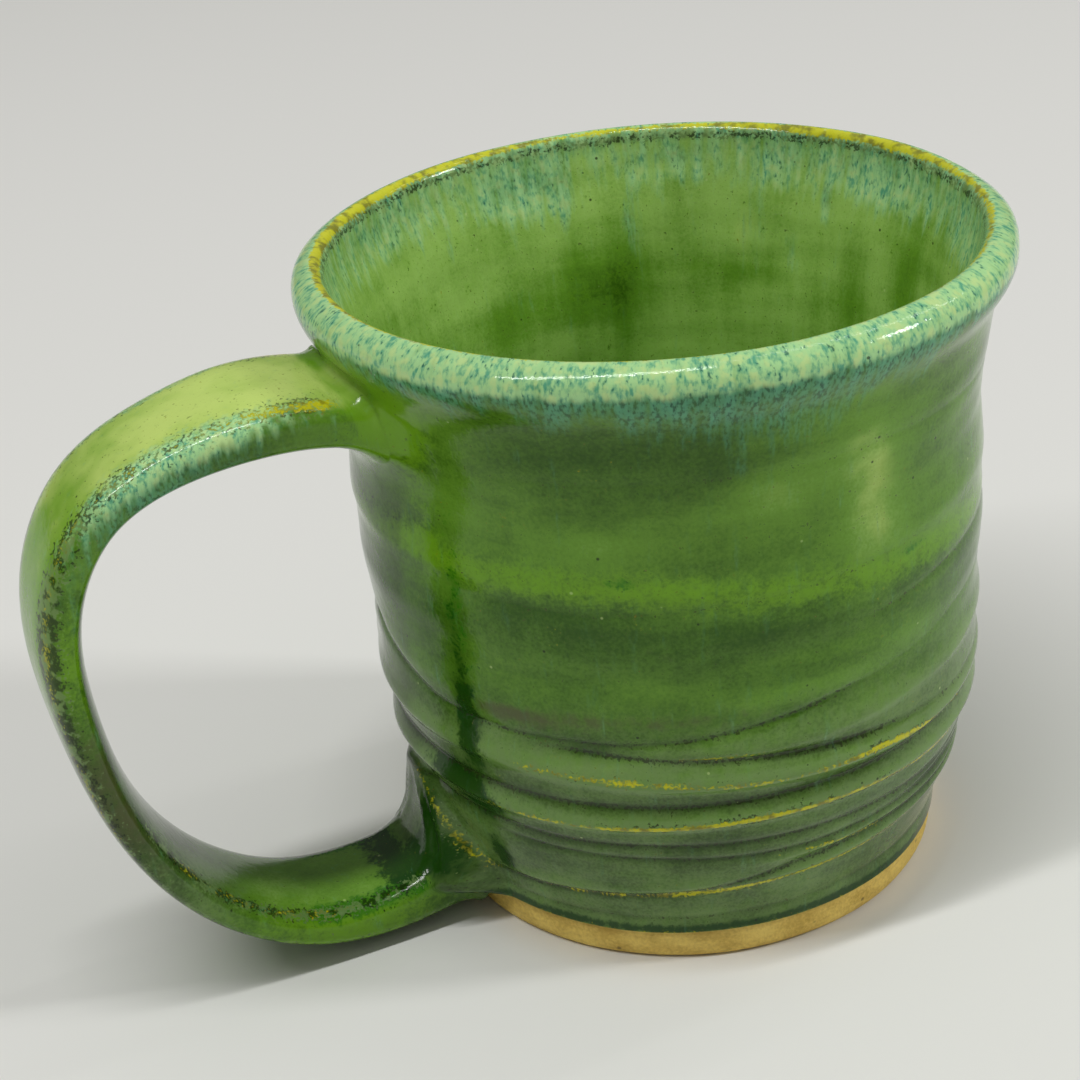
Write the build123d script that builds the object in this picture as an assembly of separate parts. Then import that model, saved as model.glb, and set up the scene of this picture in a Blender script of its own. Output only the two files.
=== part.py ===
from build123d import *
import os

# Hand-thrown stoneware mug with a pulled strap handle and three glazes.
# Millimetres. The mug's axis is Z, it stands on z = 0, and the handle points along -X.

# Foot, wall and floor of the thrown vessel
foot_radius = 36.3
foot_bevel = 0.8
wall = 4.2
floor_thickness = 6.0
floor_corner = 9.0

# Outer clay wall, as (radius, height): foot band, belly, waist, and the flare under the lip
foot_band = (36.5, 5.2)
belly_low = (41.4, 24.0)
belly_high = (43.0, 46.0)
waist = (43.4, 68.0)
flare = (45.6, 85.0)
foot_lean = (0.25, 1)
flare_lean = (0.42, 1)

# Rolled lip, as (radius, height): widest line, crest, inner edge, and the throat below it
lip_widest = (48.3, 91.0)
lip_crest = (45.6, 94.5)
lip_inner = (43.8, 92.9)
throat = (42.2, 84.0)
throat_lean = (-0.2, -1)
corner_lean = (-0.25, -1)

# Glaze coats: the green ones meet the rim's at the flare and at the throat
glaze = 0.5

# Handle centreline, as tangent arcs from the upper root to the lower one
root_radius = 41.3
root_height = 81.0
root_climb = 15.0
handle_arc_radii = (78.0, 26.0, 54.0, 32.0)
handle_arc_turns = (16.0, 77.0, 56.0, 80.0)

# Strap sections, as (fraction of the centreline, width, thickness), and how round their edges are
strap_sections = (
    (0.00, 23.0, 7.8),
    (0.15, 21.5, 7.2),
    (0.40, 18.6, 6.4),
    (0.70, 19.4, 6.2),
    (0.88, 18.6, 7.4),
    (1.00, 18.4, 8.4),
)
edge_roundness = 0.44

# Slip joints: the bed between strap and wall, and the collar worked out round each root,
# as (fraction of the centreline, how far the collar stands off the strap)
slip_bed = 0.8
upper_collar = ((0.00, 2.6), (0.05, 1.6), (0.10, 0.5))
lower_collar = ((0.92, 0.5), (0.96, 1.6), (1.00, 2.6))

# Clay wad smeared up the wall from the lower joint: half sizes and centre height
wad_depth = 3.6
wad_half_width = 12.0
wad_half_height = 11.0
wad_height = 14.5

# Plane of the outlines: local X runs out along -X, and local Y is the height
side_plane = Plane(origin=(0, 0, 0), x_dir=(-1, 0, 0), z_dir=(0, 1, 0))


def grown(station, skin):
    """A station of the outer wall, moved outwards by skin."""
    return (station[0] + skin, station[1])


def wall_curve(skin):
    """Outer wall from the foot band to the flare, grown by skin."""
    stations = [grown(station, skin) for station in (foot_band, belly_low, belly_high, waist, flare)]
    return Spline(*stations, tangents=[foot_lean, flare_lean])


def lip_curve(skin):
    """Rolled lip from the flare over the crest to the throat, grown by skin."""
    crest = (lip_crest[0], lip_crest[1] + skin)
    inner = (lip_inner[0] - 0.7 * skin, lip_inner[1] + 0.7 * skin)
    stations = [grown(flare, skin), grown(lip_widest, skin), crest, inner, grown(throat, -skin)]
    return Spline(*stations, tangents=[flare_lean, throat_lean])


def inside_curves(skin):
    """Inner wall from the throat down, and the floor out to the axis, grown by skin."""
    start = grown(throat, -skin)
    upper = (waist[0] - wall - skin, waist[1])
    lower = (belly_high[0] - wall - skin, belly_high[1])
    corner_top = (foot_band[0] - wall - skin, floor_thickness + floor_corner)
    corner_end = (foot_band[0] - wall - floor_corner, floor_thickness + skin)
    return [
        Spline(start, upper, lower, corner_top, tangents=[throat_lean, corner_lean]),
        Spline(corner_top, corner_end, tangents=[corner_lean, (-1, 0)]),
        Line(corner_end, (0, floor_thickness + skin)),
    ]


def clay_outline():
    """Half section of the thrown vessel."""
    edges = [
        Line((0, 0), (foot_radius - foot_bevel, 0)),
        Line((foot_radius - foot_bevel, 0), (foot_radius, foot_bevel)),
        Line((foot_radius, foot_bevel), foot_band),
        wall_curve(0),
        lip_curve(0),
        *inside_curves(0),
        Line((0, floor_thickness), (0, 0)),
    ]
    return make_face(edges)


def coat_outline(clay_curves, glazed_curves):
    """Half section of a glaze coat between the clay's curves and the grown ones."""
    start_line = Line(clay_curves[0] @ 0, glazed_curves[0] @ 0)
    end_line = Line(clay_curves[-1] @ 1, glazed_curves[-1] @ 1)
    return make_face([*clay_curves, *glazed_curves, start_line, end_line])


def turned(outline):
    """Solid of a half section turned round the mug's axis."""
    return revolve(side_plane * outline, Axis.Z)


def envelope(skin):
    """The vessel's outer shape without its hollow, grown outwards by skin."""
    low_edge = (foot_band[0] + skin, 0)
    top_edge = (flare[0] + skin, lip_widest[1])
    edges = [
        Line((0, 0), low_edge),
        Line(low_edge, (foot_band[0] + skin, foot_band[1])),
        wall_curve(skin),
        Line((flare[0] + skin, flare[1]), top_edge),
        Line(top_edge, (0, top_edge[1])),
        Line((0, top_edge[1]), (0, 0)),
    ]
    return turned(make_face(edges))


def handle_path():
    """Centreline of the strap."""
    heading = Vector(1, 0, 0).rotate(Axis.Z, root_climb)
    point = Vector(root_radius, root_height, 0)
    arcs = []
    for radius, turn in zip(handle_arc_radii, handle_arc_turns):
        arc = JernArc(point, heading, radius, -turn)
        arcs.append(arc)
        point = arc @ 1
        heading = arc % 1
    return side_plane * Wire(arcs)


def section(path, fraction, width, thickness):
    """Round-edged strap section standing across the centreline."""
    place = Plane(origin=path @ fraction, x_dir=(0, 1, 0), z_dir=path % fraction)
    return place * RectangleRounded(width, thickness, edge_roundness * thickness)


def strap_size(fraction):
    """Width and thickness of the strap at a fraction of its length."""
    for start, end in zip(strap_sections, strap_sections[1:]):
        if fraction <= end[0]:
            share = (fraction - start[0]) / (end[0] - start[0])
            return [a + share * (b - a) for a, b in zip(start[1:], end[1:])]


def strap(skin):
    """The pulled strap at its full length, grown by skin."""
    path = handle_path()
    sections = [
        section(path, fraction, width + 2 * skin, thickness + 2 * skin)
        for fraction, width, thickness in strap_sections
    ]
    return sweep(sections, path=path, multisection=True)


def collar(stations, skin):
    """Clay worked out round a root, as a filled flare grown by skin."""
    path = handle_path()
    sections = []
    for fraction, stand_off in stations:
        width, thickness = strap_size(fraction)
        growth = 2 * (stand_off + skin)
        sections.append(section(path, fraction, width + growth, thickness + growth))
    return loft(sections)


def wad(skin):
    """Lens of clay on the wall above the lower joint, grown by skin."""
    depth = wad_depth + skin
    size = (depth, wad_half_width + skin, wad_half_height + skin)
    return Pos(-belly_low[0] + wad_depth / 2, 0, wad_height) * scale(Sphere(1), by=size)


clay_body = turned(clay_outline())

# Handle and its joints, each cut back to what it is stuck to
outer_shape = envelope(0)
full_strap = strap(0)
handle_strap = full_strap - envelope(slip_bed)
upper_shape = collar(upper_collar, 0)
lower_shape = collar(lower_collar, 0) + wad(0)
upper_joint_slip = upper_shape - outer_shape - clay_body - handle_strap
lower_joint_slip = lower_shape - outer_shape - handle_strap
handle_shape = full_strap + upper_shape + lower_shape

# Glaze coats of the vessel, cut away where the handle is stuck on
outer_glaze = turned(coat_outline([wall_curve(0)], [wall_curve(glaze)])) - handle_shape
rim_glaze = turned(coat_outline([lip_curve(0)], [lip_curve(glaze)])) - handle_shape
liner_glaze = turned(coat_outline(inside_curves(0), inside_curves(glaze)))

# Glaze coat of the handle, over the strap and both joints
coated = strap(glaze) + collar(upper_collar, glaze) + collar(lower_collar, glaze) + wad(glaze)
handle_glaze = coated - handle_shape - envelope(glaze) - rim_glaze - clay_body

nodes = {
    "clay_body": clay_body,
    "handle_strap": handle_strap,
    "upper_joint_slip": upper_joint_slip,
    "lower_joint_slip": lower_joint_slip,
    "outer_glaze": outer_glaze,
    "liner_glaze": liner_glaze,
    "rim_glaze": rim_glaze,
    "handle_glaze": handle_glaze,
}
os.makedirs("parts", exist_ok=True)
for name, solid in nodes.items():
    export_step(solid, "parts/" + name + ".step")
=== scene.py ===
import math

import bpy
import numpy as np
from mathutils import Matrix, Vector


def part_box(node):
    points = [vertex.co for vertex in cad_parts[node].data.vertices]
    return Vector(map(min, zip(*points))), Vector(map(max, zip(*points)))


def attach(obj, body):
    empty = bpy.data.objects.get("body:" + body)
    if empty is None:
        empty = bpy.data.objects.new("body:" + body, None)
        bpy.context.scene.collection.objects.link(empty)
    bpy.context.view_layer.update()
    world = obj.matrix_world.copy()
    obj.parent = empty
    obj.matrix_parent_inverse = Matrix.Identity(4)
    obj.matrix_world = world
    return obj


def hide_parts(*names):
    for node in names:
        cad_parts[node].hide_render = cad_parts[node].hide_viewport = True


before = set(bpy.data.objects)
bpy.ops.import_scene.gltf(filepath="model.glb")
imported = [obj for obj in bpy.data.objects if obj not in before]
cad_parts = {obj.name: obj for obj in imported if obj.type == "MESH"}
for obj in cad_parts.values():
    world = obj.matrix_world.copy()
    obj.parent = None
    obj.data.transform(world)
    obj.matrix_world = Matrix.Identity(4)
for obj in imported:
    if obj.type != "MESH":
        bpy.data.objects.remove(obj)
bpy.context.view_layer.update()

# Shapes are written in hundredths of the mug's height ("parts"), and places in the frame's metres.
# The mug's axis is Z, it stands on z = 0, and the handle points along -X (180 degrees).
MUG_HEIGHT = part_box("rim_glaze")[1].z
PART = MUG_HEIGHT / 100
COAT = (MUG_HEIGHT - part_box("clay_body")[1].z) / PART
GLAZE_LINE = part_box("outer_glaze")[0].z / PART
HANDLE_ANGLE = 180.0
# Radii at which patterns are laid round the wall and round the inside, and the wall's mean radius
FLOW_RADIUS = 45.0
LINER_FLOW_RADIUS = 40.0
MEAN_RADIUS = 44.0


# ------ small helpers

def smoothstep(low, high, value):
    """0 below low, 1 above high, and a smooth ramp between."""
    ramp = np.clip((value - low) / (high - low), 0, 1)
    return ramp * ramp * (3 - 2 * ramp)


def bell(distance, width):
    """A smooth bump of height 1 at distance 0."""
    return np.exp(-(distance / width) ** 2)


def unit_vectors(vectors):
    """The vectors at length 1."""
    return vectors / np.maximum(np.linalg.norm(vectors, axis=-1, keepdims=True), 1e-12)


def turned_grid(radius, height, angle):
    """Points of a surface turned round the axis."""
    turn = np.radians(angle)
    return np.stack(np.broadcast_arrays(radius * np.cos(turn), radius * np.sin(turn), height), -1)


def add_object(name, data):
    """A new object in the scene."""
    made = bpy.data.objects.new(name, data)
    bpy.context.scene.collection.objects.link(made)
    return made


class Spline:
    """Natural cubic spline through given stations, over the length of their chords."""

    def __init__(self, stations):
        self.points = np.array(stations, float)
        chords = np.linalg.norm(np.diff(self.points[:, :2], axis=0), axis=1)
        self.knots = np.concatenate([[0], np.cumsum(chords)])
        self.length = self.knots[-1]
        count = len(self.knots)
        gaps = np.diff(self.knots)
        system = np.eye(count)
        target = np.zeros_like(self.points)
        for i in range(1, count - 1):
            system[i, i - 1:i + 2] = gaps[i - 1], 2 * (gaps[i - 1] + gaps[i]), gaps[i]
            slopes = np.diff(self.points[i - 1:i + 2], axis=0) / gaps[i - 1:i + 1, None]
            target[i] = 6 * (slopes[1] - slopes[0])
        self.bends = np.linalg.solve(system, target)

    def at(self, lengths):
        """Points at these lengths along the spline."""
        i = np.clip(np.searchsorted(self.knots, lengths, "right") - 1, 0, len(self.knots) - 2)
        gap = (self.knots[i + 1] - self.knots[i])[..., None]
        after = (lengths - self.knots[i])[..., None]
        before = gap - after
        low, high = self.points[i], self.points[i + 1]
        low_bend, high_bend = self.bends[i], self.bends[i + 1]
        curve = (low_bend * before ** 3 + high_bend * after ** 3) / (6 * gap)
        return curve + (low / gap - low_bend * gap / 6) * before + (
            high / gap - high_bend * gap / 6) * after


def waves(points, size, seed, count=28):
    """Smooth seamless noise of about -1 to 1 in space, with features of about this size."""
    random = np.random.default_rng(seed)
    directions = unit_vectors(random.normal(size=(count, 3)))
    rates = directions * (2 * np.pi / size) * random.uniform(0.6, 1.5, (count, 1))
    phases = random.uniform(0, 2 * np.pi, count)
    total = np.zeros(points.shape[:-1])
    for rate, phase in zip(rates, phases):
        total += np.sin(points @ rate + phase)
    return total / math.sqrt(count)


def between(pairs, places):
    """Values at these places, between those of (place, value) pairs."""
    return np.interp(places, *zip(*pairs))


def span_fade(line, angle, fade):
    """1 along a line on the wall, fading to 0 past its ends."""
    first, last = line[0][0], line[-1][0]
    return smoothstep(first - fade, first + fade, angle) * (
        1 - smoothstep(last - fade, last + fade, angle))


# ------ the vessel's shape

# Outline of the glazed vessel as (radius, height): up the outer wall, over the rolled lip,
# down the inside, and across the floor
OUTLINE = Spline([
    (38.9, GLAZE_LINE), (39.3, 9), (41.6, 16), (43.95, 25), (45.2, 36), (45.55, 48), (46.1, 60),
    (45.95, 70), (46.35, 78), (47.4, 85), (48.9, 91), (50.5, 93.6), (51.35, 96.2), (50.9, 98.3),
    (49.5, 99.55), (48, 100), (47, 99.4), (46.4, 97.6), (45.3, 93), (43.9, 88.4),
    (42.3, 81), (41, 72), (40.6, 60), (40.3, 48.4), (39.5, 35), (37.6, 24.5), (33.7, 15.8),
    (27.5, 9.9), (19, 7.4), (9, 6.9), (0.6, 6.84),
])
# Lengths along the outline at the lip's widest line, its shoulder and its crest
LIP_WIDEST, LIP_SHOULDER, LIP_CREST = OUTLINE.knots[[12, 13, 15]]
WALL_LENGTHS = np.linspace(0, LIP_WIDEST, 400)
WALL_SAMPLES = OUTLINE.at(WALL_LENGTHS)

# Throwing rings on the outer wall. A crease is a sharp groove between two rounds; a crest is the
# highest line of a round. Each is (line of (angle, height), size, width).
CREASES = [
    ([(165, 50), (178, 46), (195, 42.4), (212, 41.6), (232, 41.5), (248, 42.2), (262, 43.7),
      (278, 45.8)], 0.5, 0.9),
    ([(274, 45.2), (306, 49), (340, 51), (380, 51.5)], 0.12, 0.8),
    ([(222, 40.3), (240, 39.4), (261, 38.1), (282, 36.8)], 0.7, 1.1),
    ([(278, 37), (304, 35.5), (340, 35), (385, 36)], 0.36, 1),
    ([(160, 33), (200, 31.3), (246, 31), (290, 31.6), (330, 32.2), (370, 32)], 0.62, 1.2),
    ([(150, 25.5), (205, 24.2), (250, 23.6), (306, 22.6), (350, 23), (400, 24)], 0.55, 1.2),
    ([(205, 21.8), (240, 21.2), (268, 20.3), (311, 21), (345, 20)], 0.5, 0.9),
    ([(198, 11), (212, 11.6), (243, 13.6), (266, 17), (284, 18.4), (330, 19.5)], 0.6, 1.1),
    ([(150, 9), (215, 8.1), (285, 8.6), (350, 9.6), (400, 9)], 0.28, 0.9),
    ([(215, 82.3), (280, 82), (345, 81.5)], 0.16, 1),
    ([(205, 63.3), (230, 62.2), (262, 63.4), (290, 65)], 0.2, 1.2),
    ([(280, 56), (300, 57.8), (325, 59), (350, 59.5)], 0.3, 1.3),
    ([(-10, 45), (40, 43), (90, 42), (140, 45), (170, 48)], 0.7, 1.2),
    ([(-5, 36), (50, 37.5), (110, 37), (165, 35.5)], 0.6, 1.2),
    ([(10, 29), (70, 27), (120, 28.5), (160, 30.5)], 0.7, 1.4),
    ([(20, 17), (80, 18.5), (140, 17.5), (175, 15)], 0.5, 1.1),
    ([(30, 60), (80, 61), (130, 59.5)], 0.25, 1.4),
]
BACK_HIGH = [(0, 40.2), (60, 40.4), (120, 40), (160, 40.5)]
BACK_MIDDLE = [(0, 33), (60, 32), (120, 32.6), (160, 33)]
BACK_LOW = [(10, 22.5), (90, 22.8), (165, 22)]
CRESTS = [
    ([(150, 37), (205, 36.6), (226, 35.8), (246, 35), (266, 34.5), (290, 33.4), (320, 33.4),
      (370, 33.8)], 0.7, 1.8),
    ([(235, 39.9), (262, 39.6), (290, 41), (330, 42), (370, 43)], 0.42, 1.7),
    ([(165, 28.5), (215, 27.7), (246, 28), (276, 28.4), (306, 28.1), (360, 28)], 0.7, 1.4),
    ([(262, 18.8), (282, 19.2), (306, 19.6), (340, 21.5)], 0.3, 0.8),
    ([(205, 12.6), (240, 14.6), (268, 15.4), (306, 17.6), (350, 18)], 0.4, 1),
    ([(180, 47.5), (215, 46), (250, 47), (290, 51), (330, 54)], 0.2, 2.8),
    ([(150, 67), (215, 66.2), (262, 64.8), (300, 67), (360, 67)], 0.35, 3),
    ([(160, 55.5), (230, 56), (300, 57), (360, 57)], 0.2, 3),
    (BACK_HIGH, 0.5, 1.9),
    (BACK_MIDDLE, 0.6, 1.9),
    (BACK_LOW, 0.55, 2.0),
    ([(-5, 50), (60, 49.5), (120, 50), (160, 51)], 0.4, 2.6),
]

# Clay wad smeared up the wall above the handle's lower root
WAD_RADIUS = 45.3
WAD_TOP = 26.5
WAD_TOP_HALF_WIDTH = 3.2
WAD_SPREAD = 0.52
WAD_EDGE = 2.6
# Its ridges and the grooves beside them, as (size, slant, start, width)
WAD_RIDGES = [(0.45, 0.3, 0.6, 0.9), (-0.4, 0.46, 0.5, 0.8), (0.35, -0.34, -0.4, 1),
              (-0.35, -0.5, 0, 0.8)]

# Degrees over which a crease, crest or yellow line fades in and out at its ends
LINE_FADE = 9


def feature_sum(features, angle, height, shape):
    """Relief of the creases or crests at these places on the wall."""
    total = np.zeros(np.broadcast(angle, height).shape)
    for line, size, width in features:
        for turn in (-360, 0, 360):
            there = angle + turn
            distance = height - between(line, there)
            total += size * span_fade(line, there, LINE_FADE) * shape(distance, width)
    return total


def cusp(distance, width):
    """A pointed groove."""
    return np.exp(-np.abs(distance) / (0.75 * width))


def lopsided(distance, width):
    """A round with a long upper side and a short lower one."""
    return np.exp(-(distance / np.where(distance > 0, 1.5 * width, 0.75 * width)) ** 2)


def off_handle(angle):
    """Distance round the wall from the handle's middle, in parts, either side of it."""
    return (np.mod(angle - HANDLE_ANGLE + 180, 360) - 180) * math.pi / 180 * MEAN_RADIUS


def ring_relief(angle, height):
    """Relief of the throwing rings."""
    crests = feature_sum(CRESTS, angle, height, lopsided)
    return 1.15 * crests - 0.92 * feature_sum(CREASES, angle, height, cusp)


def wobble(angle, height):
    """The slow unevenness of a wall thrown by hand, and its fine throwing lines."""
    turn = np.radians(angle)
    slow = 0.28 * np.cos(2 * turn + 0.6) + 0.12 * np.cos(3 * turn + 2.0 + height / 40)
    dents = 0.07 * waves(turned_grid(FLOW_RADIUS, 2.2 * height, angle), 30, 11)
    lines = 0.035 * waves(turned_grid(11, 1.7 * height, angle), 7, 13)
    return slow * smoothstep(0, 60, height) + dents + lines


def base_radius(height):
    """Radius of the plain outer wall."""
    return np.interp(height, WALL_SAMPLES[:, 1], WALL_SAMPLES[:, 0])


def wad_cover(angle, height):
    """How far the joint's clay stands off the wall."""
    across = np.abs(off_handle(angle))
    half_width = WAD_TOP_HALF_WIDTH + WAD_SPREAD * (WAD_TOP - height)
    inside = 1 - smoothstep(half_width - WAD_EDGE, half_width + WAD_EDGE, across)
    thick = np.maximum(WAD_RADIUS - base_radius(height), 0.9)
    rise = 1 - smoothstep(WAD_TOP - 1.6, WAD_TOP + 0.6, height)
    return thick * inside * rise * smoothstep(GLAZE_LINE - 1, GLAZE_LINE + 3, height)


def wad_ridges(angle, height):
    """Finger-smeared ridges that run down and outwards from the wad's top."""
    fall = np.maximum(WAD_TOP - height, 0)
    across = off_handle(angle)
    ridges = 0
    for size, slant, start, width in WAD_RIDGES:
        ridges = ridges + size * bell(across - slant * fall - start, width)
    return ridges * smoothstep(0, 5, fall) * (1 - smoothstep(16, 21, fall))


def wall_relief(angle, height):
    """Everything that stands off the plain outer wall."""
    cover = wad_cover(angle, height)
    shown = 1 - smoothstep(0.2, 1.6, cover)
    fade = smoothstep(GLAZE_LINE, GLAZE_LINE + 2, height) * (1 - smoothstep(86, 93, height))
    return ring_relief(angle, height) * shown * fade + cover + wad_ridges(angle, height) + wobble(
        angle, height)


def wall_radius(angle, height):
    """Radius of the finished outer wall."""
    return base_radius(height) + wall_relief(angle, height)


# ------ the handle's shape

# Stations of the strap as (reach from the axis, height, half width, half thickness)
STRAP = Spline([
    (40.5, 82.6, 12.8, 4.5), (51.5, 86.3, 12.2, 4.1), (62.6, 87.5, 11.9, 4),
    (71.3, 86.3, 11, 3.85), (85.3, 80, 10.1, 3.65), (92.8, 66.5, 9.7, 3.4),
    (93.1, 50, 9.8, 3.1), (89.5, 33, 10.2, 2.9), (79.3, 15.8, 10.3, 3.05),
    (62.9, 6, 10, 3.6), (43.5, 6.6, 9.3, 4.6), (36.5, 8.8, 9, 5),
])
# How square the strap's section is, its usual width over its thickness, and the share of its
# thickness that the inner face falls away by towards its edges
STRAP_SQUARENESS = 3.3
STRAP_RATIO = 2.9
STRAP_CROWN = 0.3
# Sizes of the fillets at the upper and lower root, and the least move that counts as part of one
UPPER_BLEND = 7.0
LOWER_BLEND = 6.5
LEAST_MOVE = 0.002
STRAP_LINE = STRAP.at(np.linspace(0, STRAP.length, 400))


def strap_direction(lengths):
    """Direction of the strap's middle line, as (reach, height)."""
    step = 0.05
    return unit_vectors((STRAP.at(lengths + step) - STRAP.at(lengths - step))[..., :2])


def handle_distance(points):
    """About how far these points are outside the strap; less than 0 is inside."""
    flat = points.reshape(-1, 3)
    found = np.empty(len(flat))
    line_directions = unit_vectors(np.gradient(STRAP_LINE[:, :2], axis=0))
    batch = 20000
    for start in range(0, len(flat), batch):
        some = flat[start:start + batch]
        place = np.stack([-some[:, 0], some[:, 2]], -1)
        gaps = place[:, None] - STRAP_LINE[None, :, :2]
        nearest = (gaps ** 2).sum(-1).argmin(1)
        gap = gaps[np.arange(len(some)), nearest]
        direction = line_directions[nearest]
        off = gap[:, 0] * -direction[:, 1] + gap[:, 1] * direction[:, 0]
        half_width, half_thickness = STRAP_LINE[nearest, 2:].T
        power = STRAP_SQUARENESS
        ratio = np.abs(some[:, 1] / half_width) ** power + np.abs(off / half_thickness) ** power
        ratio = np.maximum(ratio, 1e-9) ** (1 / power)
        reach = np.hypot(some[:, 1], off)
        found[start:start + batch] = reach - reach / ratio
    return found.reshape(points.shape[:-1])


def wall_distance(points):
    """About how far these points are outside the outer wall; less than 0 is inside."""
    angle = np.degrees(np.arctan2(points[..., 1], points[..., 0])) % 360
    radius = np.hypot(points[..., 0], points[..., 1])
    return radius - wall_radius(angle, points[..., 2])


def gradient(distance, points):
    """Direction in which a distance grows fastest."""
    steps = np.eye(3) * 0.06
    slopes = [distance(points + step) - distance(points - step) for step in steps]
    return unit_vectors(np.stack(slopes, -1))


def blend_size(height):
    """Size of the fillet between strap and wall at this height."""
    size = LOWER_BLEND + (UPPER_BLEND - LOWER_BLEND) * smoothstep(30, 60, height)
    return size * (1 - 0.55 * smoothstep(86.5, 91, height))


def fillet(own, other, size):
    """How far a surface stands off where it is filleted to another one."""
    return size / 4 * np.maximum(0, 1 - np.abs(own - other) / size) ** 2


def filleted(points, directions, distance):
    """The points moved along their directions onto the fillet with the surface of that distance."""
    moved = np.zeros(points.shape[:-1])
    close = np.abs(distance(points)) < 1.1 * max(UPPER_BLEND, LOWER_BLEND)
    some, away = points[close], directions[close]
    size = blend_size(some[..., 2])
    shift = np.zeros(len(some))
    for _ in range(16):
        other = distance(some + away * shift[..., None])
        shift = 0.4 * shift + 0.6 * fillet(shift, other, size)
    moved[close] = shift
    return points + directions * moved[..., None], moved


def fillet_normals(points, own_normals, own, distance):
    """Normals on the fillet: a mix of the two surfaces' own."""
    other = distance(points)
    size = blend_size(points[..., 2])
    share = np.clip(0.5 + 0.5 * (other - own) / size, 0.5, 1)[..., None]
    return unit_vectors(own_normals * share + gradient(distance, points) * (1 - share))


# ------ grids of points

def grid_normals(points):
    """Normals of a grid that closes round its columns."""
    along = np.gradient(points, axis=0)
    around = (np.roll(points, -1, 1) - np.roll(points, 1, 1)) / 2
    return unit_vectors(np.cross(around, along))


# Lengths along the outline where one glaze piece ends and the next starts
RIM_START = OUTLINE.knots[10]
RIM_END = OUTLINE.knots[19]
COLUMNS = 384
ANGLES = np.linspace(0, 360, COLUMNS, endpoint=False)[None]
OUTER_ROWS = 228
RIM_ROWS = 84
LINER_ROWS = 190
RIM_ROW = OUTER_ROWS
LINER_ROW = OUTER_ROWS + RIM_ROWS
# The liner's rows crowd towards the lip
LINER_CROWDING = 1.4


def vessel_grid():
    """The whole glazed surface, and where each of its rows lies along the outline."""
    lengths = np.concatenate([
        np.linspace(0, RIM_START, OUTER_ROWS, endpoint=False),
        np.linspace(RIM_START, RIM_END, RIM_ROWS, endpoint=False),
        RIM_END + (OUTLINE.length - RIM_END) * np.linspace(0, 1, LINER_ROWS) ** LINER_CROWDING,
    ])
    places = OUTLINE.at(lengths)
    radius, height = places[:, :1], places[:, 1:]
    outside = (lengths < LIP_WIDEST)[:, None]
    # the lip and the inside keep the wall's slow unevenness
    fade = smoothstep(0, 30, OUTLINE.length - lengths)[:, None]
    relief = np.where(outside, wall_relief(ANGLES, height), wobble(ANGLES, height) * fade)
    return lengths, turned_grid(radius + relief, height, ANGLES)


def with_fillets(points, normals, near, directions, distance):
    """A grid's points and normals, with the near ones worked into the fillets."""
    points, normals = points.copy(), normals.copy()
    moved_points, moved = filleted(points[near], directions, distance)
    touched = moved > LEAST_MOVE
    mixed = normals[near]
    mixed[touched] = fillet_normals(moved_points[touched], mixed[touched], moved[touched], distance)
    points[near] = moved_points
    normals[near] = mixed
    return points, normals


def fillet_wall(points, normals, lengths):
    """The wall's grid with the fillets to the handle worked in."""
    near = (points[..., 0] < -20) & (np.abs(points[..., 1]) < 30) & (lengths < LIP_SHOULDER)[:, None]
    return with_fillets(points, normals, near, unit_vectors(points[near] * (1, 1, 0)), handle_distance)


STRAP_ROWS = 340
STRAP_COLUMNS = 120
# How deep in the wall the handle's glaze ends
GLAZE_DEPTH = 1.5


def strap_turns():
    """Turns round the strap's section that space its points evenly."""
    fine = np.linspace(0, 2 * np.pi, 4001)
    outline = section_outline(fine, STRAP_RATIO, 1.0)
    walked = np.concatenate([[0], np.cumsum(np.linalg.norm(np.diff(outline, axis=0), axis=1))])
    even = np.linspace(0, walked[-1], STRAP_COLUMNS, endpoint=False)
    return np.interp(even, walked, fine)


def section_outline(turns, half_width, half_thickness):
    """Rounded-square outline of the strap, as (across, off the middle line)."""
    circle = np.stack([np.cos(turns), np.sin(turns)], -1)
    squared = np.sign(circle) * np.abs(circle) ** (2 / STRAP_SQUARENESS)
    return squared * np.stack([half_width, half_thickness], -1)


def strap_points(lengths, inset=0.0):
    """Points of the strap's surface, moved inwards by inset; one column for each of its turns."""
    middle = STRAP.at(lengths)
    direction = strap_direction(lengths)
    outline = section_outline(strap_turns(), middle[..., 2] - inset, middle[..., 3] - inset)
    across, off = outline[..., 0], outline[..., 1]
    # between its roots the strap's inner face is crowned
    along = lengths / STRAP.length
    crown = STRAP_CROWN * smoothstep(0.14, 0.3, along) * (1 - smoothstep(0.78, 0.9, along))
    off = off * (1 - crown * (off < 0) * (across / middle[..., 2]) ** 2)
    reach = middle[..., 0] - direction[..., 1] * off
    height = middle[..., 1] + direction[..., 0] * off
    return np.stack([-reach, -across, height], -1)


def root_lengths(depth):
    """For each column, the lengths along the strap where it is this deep in the wall at both roots."""
    steps = np.linspace(0, STRAP.length, 500)
    lengths = np.repeat(steps[:, None], STRAP_COLUMNS, 1)
    free = wall_distance(strap_points(lengths)) > -depth
    first = steps[free.argmax(0)]
    last = steps[len(steps) - 1 - free[::-1].argmax(0)]
    return first, last


def strap_grid(depth, inset=0.0, rows=STRAP_ROWS):
    """The strap from root to root, whose ends lie this deep in the wall."""
    first, last = root_lengths(depth)
    lengths = first + np.linspace(0, 1, rows)[:, None] * (last - first)
    return lengths, strap_points(lengths, inset)


def handle_grid():
    """The strap's glazed surface with its fillets to the wall."""
    lengths, points = strap_grid(GLAZE_DEPTH)
    normals = grid_normals(points)
    near = points[..., 0] > -70
    return lengths, *with_fillets(points, normals, near, normals[near], wall_distance)


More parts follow.
